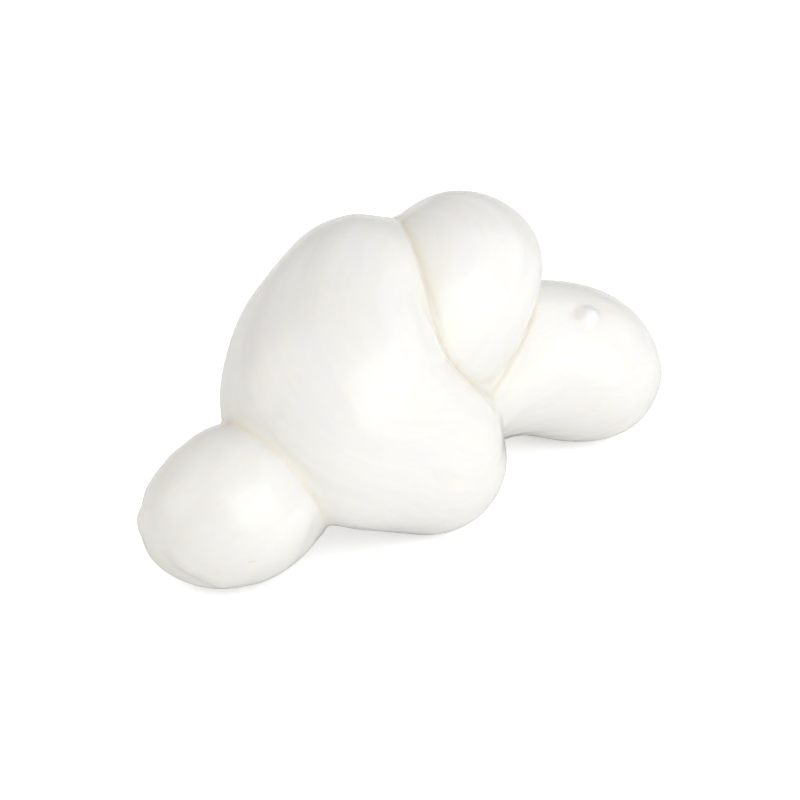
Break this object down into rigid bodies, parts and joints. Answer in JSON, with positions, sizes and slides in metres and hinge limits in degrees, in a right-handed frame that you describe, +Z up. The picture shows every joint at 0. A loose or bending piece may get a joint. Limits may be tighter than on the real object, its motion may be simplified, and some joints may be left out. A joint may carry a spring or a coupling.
{
  "type": "mozzarella knot",
  "caption": "Fresh pulled-curd cheese tied as a small overhand knot, with full turns pressed together along creases and rounded ends that rest on the table.",
  "frame": {"origin": "centre of the bounding box, at the table surface", "axes": "+X along the knot from one rounded end to the other, -Y towards the front turn, +Z up"},
  "size_m": [0.0802, 0.0436, 0.0366],
  "materials": {
    "fresh_mozzarella": "moist, soft satin skin of fresh pulled curd"
  },
  "bodies": {
    "root": {"mozzarella_knot": "fresh_mozzarella"}
  },
  "joints": []
}
